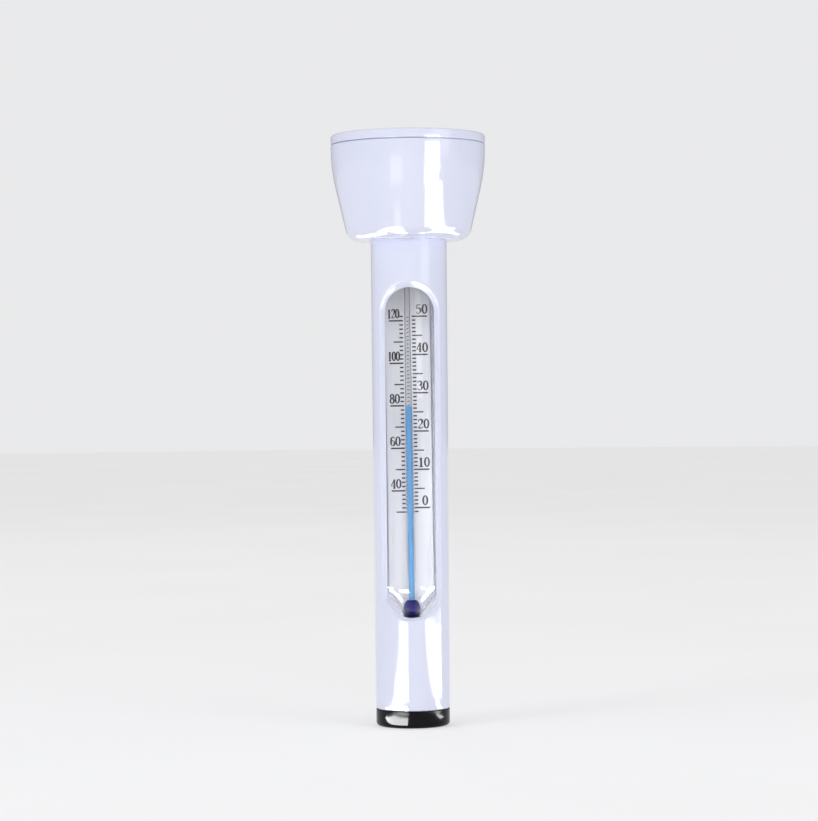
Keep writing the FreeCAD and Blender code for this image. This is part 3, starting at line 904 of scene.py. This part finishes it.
# ---------------------------------------------------------------- scale print
THICK = 0.2
THIN = 0.1
STROKES = {
    "1": [
        [(0.50, 0.03, THICK), (0.50, 0.97, THICK)],
        [(0.20, 0.80, THIN), (0.34, 0.84, THIN), (0.48, 0.96, THIN)],
        [(0.18, 0.02, THIN), (0.82, 0.02, THIN)],
    ],
    "2": [
        [
            (0.20, 0.74, 0.13), (0.16, 0.84, THIN), (0.40, 0.965, THIN), (0.74, 0.90, THICK),
            (0.80, 0.70, THICK), (0.58, 0.42, 0.08), (0.28, 0.18, THIN), (0.14, 0.06, THIN),
        ],
        [(0.12, 0.06, 0.10), (0.60, 0.055, 0.11), (0.84, 0.07, 0.06), (0.90, 0.22, THIN)],
    ],
    "3": [
        [
            (0.20, 0.78, 0.13), (0.22, 0.90, THIN), (0.48, 0.965, THIN), (0.76, 0.86, THICK),
            (0.72, 0.62, THICK), (0.42, 0.53, THIN),
        ],
        [
            (0.42, 0.53, THIN), (0.76, 0.46, 0.10), (0.84, 0.26, THICK), (0.66, 0.06, 0.09),
            (0.36, 0.03, THIN), (0.14, 0.12, 0.06), (0.19, 0.21, 0.13),
        ],
    ],
    "4": [
        [(0.66, 0.03, THICK), (0.66, 0.97, THICK)],
        [(0.64, 0.96, THIN), (0.08, 0.28, THIN)],
        [(0.06, 0.27, 0.06), (0.94, 0.27, 0.06)],
        [(0.42, 0.02, THIN), (0.88, 0.02, THIN)],
    ],
    "5": [
        [(0.20, 0.92, 0.09), (0.56, 0.925, 0.10), (0.80, 0.96, THIN)],
        [(0.21, 0.95, THIN), (0.18, 0.52, THIN)],
        [
            (0.18, 0.52, THIN), (0.44, 0.61, THIN), (0.76, 0.52, THICK), (0.82, 0.28, THICK),
            (0.62, 0.06, 0.08), (0.34, 0.03, THIN), (0.14, 0.12, 0.06), (0.19, 0.21, 0.13),
        ],
    ],
    "6": [
        [
            (0.78, 0.80, 0.12), (0.74, 0.92, THIN), (0.52, 0.965, THIN), (0.24, 0.80, THICK),
            (0.17, 0.48, THICK), (0.18, 0.26, THICK), (0.34, 0.05, 0.08), (0.54, 0.03, THIN),
            (0.78, 0.14, THICK), (0.81, 0.32, THICK), (0.68, 0.53, 0.07), (0.48, 0.57, THIN),
            (0.24, 0.46, THIN),
        ],
    ],
}
LOOPS = {
    "0": [(0.50, 0.50, 0.355, 0.465)],
    "8": [(0.50, 0.755, 0.27, 0.215), (0.50, 0.27, 0.335, 0.245)],
}


def smooth_line(stroke, steps=7):
    """Catmull-Rom points (across, up, width) through a stroke."""
    if len(stroke) == 2:
        return list(stroke)
    ends = [stroke[0]] + list(stroke) + [stroke[-1]]
    line = []
    for index in range(1, len(ends) - 2):
        p0, p1, p2, p3 = (Vector(ends[index + offset]) for offset in (-1, 0, 1, 2))
        for step in range(steps):
            t = step / steps
            line.append(
                tuple(
                    0.5
                    * (
                        2 * p1
                        + (p2 - p0) * t
                        + (2 * p0 - 5 * p1 + 4 * p2 - p3) * t * t
                        + (3 * p1 - p0 - 3 * p2 + p3) * t**3
                    )
                )
            )
    line.append(tuple(ends[-2]))
    return line


class Print:
    """Collects the raised ink of the scale as closed flat solids."""

    def __init__(self):
        self.points = []
        self.faces = []
        self.back = PLATE_FRONT + 0.01
        self.front = PLATE_FRONT - 0.025

    def ribbon(self, left, right, closed=False):
        """Adds the solid between two lines of (across, up) points."""
        start = len(self.points)
        for one, two in zip(left, right):
            for depth in (self.front, self.back):
                self.points.append((one[0], depth, one[1]))
                self.points.append((two[0], depth, two[1]))
        count = len(left)
        sections = count if closed else count - 1
        for index in range(sections):
            a = start + index * 4
            b = start + ((index + 1) % count) * 4
            self.faces.append((a, a + 1, b + 1, b))
            self.faces.append((a + 2, b + 2, b + 3, a + 3))
            self.faces.append((a, b, b + 2, a + 2))
            self.faces.append((a + 1, a + 3, b + 3, b + 1))
        if not closed:
            last = start + (count - 1) * 4
            self.faces.append((start, start + 2, start + 3, start + 1))
            self.faces.append((last, last + 1, last + 3, last + 2))

    def bar(self, x0, x1, up, thickness):
        """Adds a level line."""
        half = thickness / 2
        self.ribbon([(x0, up + half), (x1, up + half)], [(x0, up - half), (x1, up - half)])

    def digit(self, figure, x, y, width, height):
        """Adds a numeral with its lower left corner at x, y."""

        def spot(across, up):
            return (x + across * width, y + up * height)

        for stroke in STROKES.get(figure, []):
            line = smooth_line(stroke)
            left, right = [], []
            for index, (across, up, wide) in enumerate(line):
                before = line[max(index - 1, 0)]
                after = line[min(index + 1, len(line) - 1)]
                along = Vector(
                    ((after[0] - before[0]) * width, (after[1] - before[1]) * height)
                ).normalized()
                side = Vector((-along.y, along.x)) * wide * height / 2
                centre = Vector(spot(across, up))
                left.append(tuple(centre + side))
                right.append(tuple(centre - side))
            self.ribbon(left, right)
        for across, up, reach_x, reach_y in LOOPS.get(figure, []):
            outer, inner = [], []
            turns = 40
            for step in range(turns):
                angle = 2 * math.pi * step / turns
                c, s = math.cos(angle), math.sin(angle)
                thick = (THIN + (THICK - THIN) * abs(c) ** 1.2) * height / 2
                middle = Vector(spot(across + reach_x * c, up + reach_y * s))
                normal = Vector((c / (reach_x * width), s / (reach_y * height))).normalized()
                outer.append(tuple(middle + normal * thick))
                inner.append(tuple(middle - normal * thick))
            self.ribbon(outer, inner, closed=True)

    def number(self, text, right, y, width, height, gap):
        """Adds a number that ends at right."""
        x = right - len(text) * width - (len(text) - 1) * gap
        for figure in text:
            self.digit(figure, x, y, width, height)
            x += width + gap


def fahrenheit_height(degree):
    """Height of a Fahrenheit degree's line."""
    return ZERO_C + (degree - 32) / 1.8 * DEGREE


def make_scale_print(material):
    """Both scales: Celsius on the right and Fahrenheit on the left of the capillary."""
    ink = Print()
    start = 1.2
    short = (0.95, 0.38)
    figure_rise = 0.65  # from a line to the foot of its number
    for degree in range(-1, 51):
        up = ZERO_C + degree * DEGREE
        reach, thickness = short
        if degree % 10 == 0:
            reach, thickness = 4.1, 0.38
        elif degree % 5 == 0:
            reach, thickness = 2.7, 0.32
        ink.bar(start, start + reach, up, thickness)
        ink.bar(-0.42, 0.42, up, 0.2)
    for degree in range(30, 123, 2):
        up = fahrenheit_height(degree)
        reach, thickness = short
        if degree % 20 == 0:
            reach, thickness = 3.75, 0.4
        elif degree % 10 == 0:
            reach, thickness = 2.5, 0.34
        ink.bar(-start - reach, -start, up, thickness)
    for degree in range(0, 51, 10):
        right = 5.45 if degree else 4.8
        ink.number(str(degree), right, ZERO_C + degree * DEGREE + figure_rise, 1.6, 2.5, 0.0)
    for degree in range(40, 121, 20):
        wide, right = (1.45, -2.28) if degree < 100 else (1.12, -2.1)
        up = fahrenheit_height(degree) + figure_rise
        ink.number(str(degree), right, up, wide, 2.45, -0.04)
    scale = make_object("scale_print", ink.points, ink.faces, 40.0, LEANING)
    return finish_piece(scale, material, "housing", "scale_strip")


# ---------------------------------------------------------------- stage
def make_floor(material):
    """Wide pale floor."""
    radii = (60, 200, 500, 1200, 2600, 5000)
    height = -0.05
    points, faces = [], []
    segments = 64
    for radius in radii:
        for step in range(segments):
            angle = 2 * math.pi * step / segments
            points.append((radius * math.cos(angle), radius * math.sin(angle), height))
    centre = len(points)
    points.append((0, 0, height))
    for step in range(segments):
        faces.append((centre, step, (step + 1) % segments))
    for ring in range(len(radii) - 1):
        for step in range(segments):
            beside = (step + 1) % segments
            first, second = ring * segments, (ring + 1) * segments
            faces.append((first + step, first + beside, second + beside, second + step))
    floor = make_object("floor", points, faces)
    floor.data.materials.append(material)


def add_panel(name, matrix, width, height, brightness, shows):
    """A rectangular soft panel. Width and height are in millimetres.

    shows is "all", "gloss" for a panel that only shows in reflections, or "diffuse" for one that never does.
    """
    data = bpy.data.lights.new(name, "AREA")
    data.shape = "RECTANGLE"
    data.size = width * MM
    data.size_y = height * MM
    data.energy = brightness * math.pi * data.size * data.size_y
    light = bpy.data.objects.new(name, data)
    light.matrix_world = matrix
    light.visible_camera = False
    light.visible_transmission = False
    light.visible_diffuse = shows != "gloss"
    light.visible_glossy = shows != "diffuse"
    bpy.context.scene.collection.objects.link(light)


def facing_panel(name, place, aim_height, width, height, brightness, shows="all"):
    """A panel at place, as (right, front, up) in millimetres, that faces the tube's axis at a height."""
    spot = Vector((place[0], -place[1], place[2])) * MM
    back = (spot - Vector((0, 0, aim_height * MM))).normalized()
    across = Vector((0, 0, 1)).cross(back).normalized()
    turn = Matrix((across, back.cross(across), back)).transposed()
    matrix = Matrix.Translation(spot) @ turn.to_4x4()
    add_panel(name, matrix, width, height, brightness, shows)


def low_panel(name, start, end, width, height, brightness):
    """A panel that faces up and only shows in reflections.

    One of its edges runs from start to end, as (right, front) in millimetres. It lies on the right of that
    edge, or on its left if width is below zero.
    """
    near = Vector((start[0], -start[1], height)) * MM
    far = Vector((end[0], -end[1], height)) * MM
    along = (far - near).normalized()
    aside = Vector((-along.y, along.x, 0)) * width * MM
    down = Vector((0, 0, -1))
    turn = Matrix((along.cross(down), along, down)).transposed()
    matrix = Matrix.Translation((near + far + aside) / 2) @ turn.to_4x4()
    add_panel(name, matrix, abs(width), (far - near).length / MM, brightness, "gloss")


def wall_panel(name, start, end, low, high, brightness):
    """A low upright panel that faces the object and only shows in reflections."""
    near = Vector((start[0], -start[1], low)) * MM
    far = Vector((end[0], -end[1], low)) * MM
    along = (far - near).normalized()
    up = Vector((0, 0, 1))
    back = along.cross(up)
    middle = (near + far + up * (high - low) * MM) / 2
    if back.dot(middle) < 0:
        along, back = -along, -back
    turn = Matrix((along, up, back)).transposed()
    matrix = Matrix.Translation(middle) @ turn.to_4x4()
    add_panel(name, matrix, (far - near).length / MM, high - low, brightness, "gloss")


def make_lights():
    """Soft studio: a bright surround, soft panels, and low panels that show as streaks of gloss."""
    world = bpy.data.worlds.new("studio")
    bpy.context.scene.world = world
    world.use_nodes = True
    tree = world.node_tree
    background = tree.nodes["Background"]
    background.inputs["Color"].default_value = (0.985, 0.988, 1.0, 1.0)
    path = tree.nodes.new("ShaderNodeLightPath")
    glossy = tree.nodes.new("ShaderNodeMapRange")
    glossy.inputs["To Min"].default_value = 0.66
    glossy.inputs["To Max"].default_value = 0.35
    seen = tree.nodes.new("ShaderNodeMapRange")
    seen.inputs["To Max"].default_value = 0.83
    tree.links.new(path.outputs["Is Glossy Ray"], glossy.inputs["Value"])
    tree.links.new(path.outputs["Is Camera Ray"], seen.inputs["Value"])
    tree.links.new(glossy.outputs["Result"], seen.inputs["To Min"])
    tree.links.new(seen.outputs["Result"], background.inputs["Strength"])

    facing_panel("key_left", (-710, 554, 480), 80, 350, 700, 3.4, "diffuse")
    facing_panel("fill_right", (690, 580, 440), 80, 500, 700, 1.85)
    facing_panel("front_fill", (60, 1400, 370), 70, 500, 260, 4.9, "diffuse")
    facing_panel("back_fill", (-300, -900, 900), 80, 500, 500, 1.2, "diffuse")
    for name, right in (("foot_glint_left", -6.65), ("foot_glint_right", 6.65)):
        facing_panel(name, (right, 4.15, 31.5), 31.5, 2.6, 10, 26.0, "gloss")

    foot, strong, faint = 55.0, 12.0, 2.2
    for name, start, end, width, height, brightness in (
        ("right_foot", (22, 6), (42, 17), 9, 0.4, 28.0),
        ("left_foot", (-2, 11), (-8, 33), -28, 0.4, foot),
        ("right_near", (40, 14), (68, 30), 14, 0.4, strong),
        ("right_inner", (66, 12), (226, 285), 60, 0.4, strong),
        ("right_middle", (100, 60), (270, 215), 80, 0.4, strong),
        ("right_outer", (75, 45), (313, 135), 60, 0.4, strong),
        ("right_edge", (64, -4), (336, -55), -45, 0.4, strong),
        ("right_outer_far", (180, 20), (335, 60), 48, 0.4, strong),
        ("right_far", (222, 290), (330, 205), -85, 0.4, strong),
        ("left_far", (-56, 232), (-82, 330), -65, 0.4, faint),
        ("left_inner", (-10, 50), (-54, 222), -40, 0.4, strong),
        ("left_middle", (-64, 56), (-116, 190), 50, 0.4, strong),
        ("left_near", (-38, 18), (-102, 70), 45, 0.4, strong),
        ("left_outer", (-100, 68), (-148, 172), 60, 0.4, strong),
        ("float_near_a", (19, 49), (40, 93), 15, 128, strong),
        ("float_near_b", (33, 40), (69, 72), -15, 128, strong),
        ("float_near_c", (21, 50), (49, 87), 12, 128, strong),
        ("float_far_a", (40, 93), (129, 277), 32, 128, strong),
        ("float_far_b", (69, 72), (223, 207), -32, 128, strong),
        ("float_far_c", (45, 96), (150, 260), 45, 128, strong),
        ("float_mid_a", (14.5, 32), (33, 71), 18, 119, strong),
        ("float_mid_b", (36, 19), (66, 54), -20, 119, strong),
        ("float_left_a", (-7, 53), (-29, 180), -16, 128, faint),
        ("float_left_b", (-21, 48), (-75, 165), 16, 128, faint),
        ("float_left_c", (-29, 180), (-42, 297), -45, 128, faint),
        ("float_left_d", (-75, 165), (-131, 270), 45, 128, faint),
        ("sweep_right_a", (16, 27), (15.8, 14.5), -8, 119, strong),
        ("sweep_right_b", (15.8, 14.5), (19.2, 3), -6, 119, strong),
        ("sweep_right_c", (19.2, 3), (19.4, -4), -3, 119, strong),
        ("sweep_left_a", (-3.2, 18.7), (-5.5, 32.9), -7, 119, strong),
        ("sweep_left_b", (-8.5, 10.5), (-13, 27), -6, 119, strong),
        ("sweep_left_c", (-9, 10.4), (-13, 2.5), 6, 119, strong),
        ("sweep_left_d", (-13, 2.5), (-17.9, -10.5), 5, 119, strong),
    ):
        low_panel(name, start, end, width, height, brightness)
    wall_panel("left_wall", (-146, 176), (-54, 222), 0.4, 10.8, strong)
    facing_panel("float_top", (42, 66, 150), 150, 27, 15, strong, "gloss")


def make_camera():
    """Level camera in front of the window, at the height of the tube's middle, rolled a little."""
    data = bpy.data.cameras.new("camera")
    data.sensor_width = 36.0
    data.lens = 116.5
    data.clip_start = 0.01
    data.clip_end = 20.0
    camera = bpy.data.objects.new("camera", data)
    camera.location = (-0.00033, -0.700, 0.08277)
    level = Matrix.Rotation(math.radians(90), 4, "X")
    roll = Matrix.Rotation(math.radians(-0.55), 4, "Z")
    camera.rotation_euler = (level @ roll).to_euler()
    bpy.context.scene.collection.objects.link(camera)
    bpy.context.scene.camera = camera
    bpy.context.scene.view_settings.view_transform = "Standard"


# ---------------------------------------------------------------- build
make_camera()
make_lights()
make_floor(floor_paint())

shell = white_plastic()
make_float_cup(shell)
make_float_lid(shell)
make_outer_tube(shell, tube_bore())
make_end_cap(black_plastic())
make_sheath(clear_material("clear_sheath", 1.49, (0.982, 0.984, 0.99), 0.0, 0.012))
make_capillary(clear_material("capillary_glass", 1.49, (0.99, 0.994, 0.996), 0.0, 0.02))
make_bulb_liquid(dye("bulb_dye", (0.010, 0.005, 0.185), (0.030, 0.017, 0.31)))
make_thread(dye("thread_dye", (0.066, 0.395, 0.80), (0.102, 0.475, 0.88), 0.2))
make_plate(scale_strip())
make_scale_print(print_ink())

carried = {
    "lid_seal_ring": rubber("ring_rubber", (0.012, 0.012, 0.014), (0.030, 0.030, 0.034)),
    "bulb_seat": rubber("seat_rubber", (0.008, 0.008, 0.012), (0.020, 0.020, 0.026)),
    "ballast_weight": turned_steel(),
    "upper_pad": foam(),
    "sheath_plug": matt_white("plug_moulding"),
    "capillary_clip": matt_white("clip_moulding"),
}
carried["cap_seal_ring"] = carried["lid_seal_ring"]
carried["plug_seal_ring"] = carried["lid_seal_ring"]
for node, material in carried.items():
    piece = frame["nodes"][node]
    piece.data.materials.clear()
    piece.data.materials.append(material)
